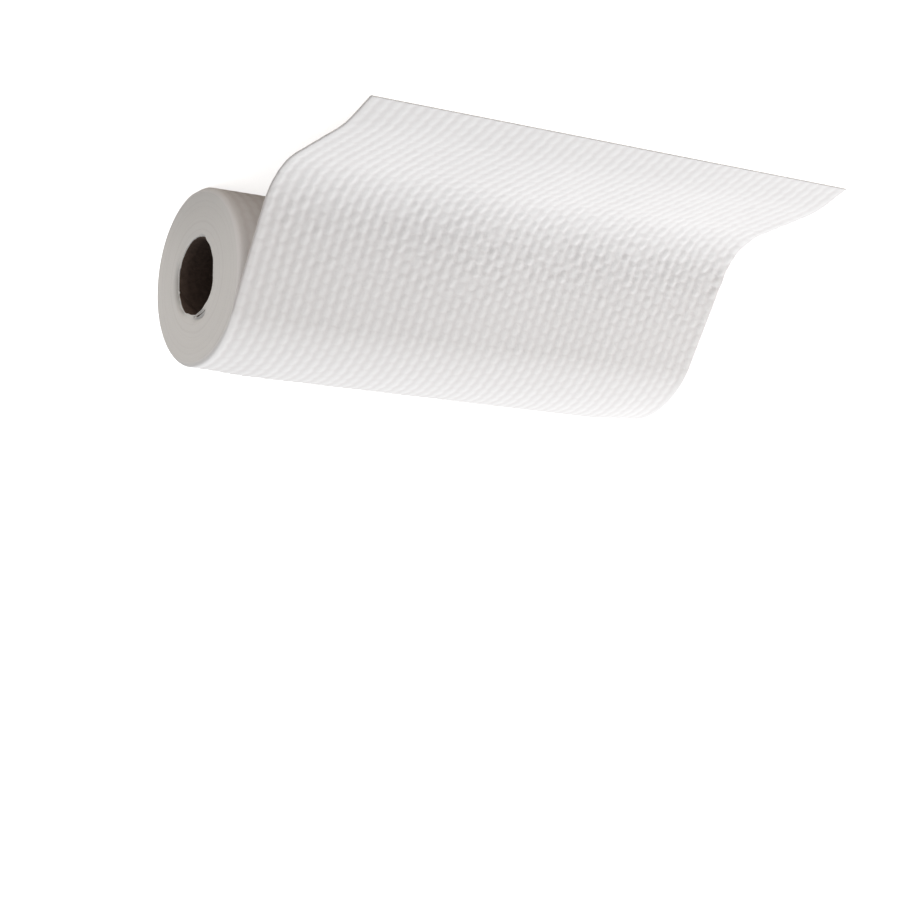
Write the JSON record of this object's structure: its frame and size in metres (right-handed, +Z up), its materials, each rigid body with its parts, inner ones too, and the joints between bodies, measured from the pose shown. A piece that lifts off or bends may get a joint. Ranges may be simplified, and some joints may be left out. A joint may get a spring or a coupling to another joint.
{
  "type": "paper towel roll",
  "caption": "Embossed white paper towel wound on a cardboard core, lying on its side with a loose sheet drawn over the front and down to the floor.",
  "frame": {"origin": "on the floor, in the middle of the flat spot that the roll lies on", "axes": "+X along the core, +Z up, -Y towards the side on which the loose sheet comes down to the floor"},
  "size_m": [0.28, 0.206, 0.087],
  "materials": {
    "towel_paper": "matte",
    "core_board": "matte"
  },
  "bodies": {
    "root": {"towel_web": "towel_paper", "core_tube": "core_board"}
  },
  "joints": []
}
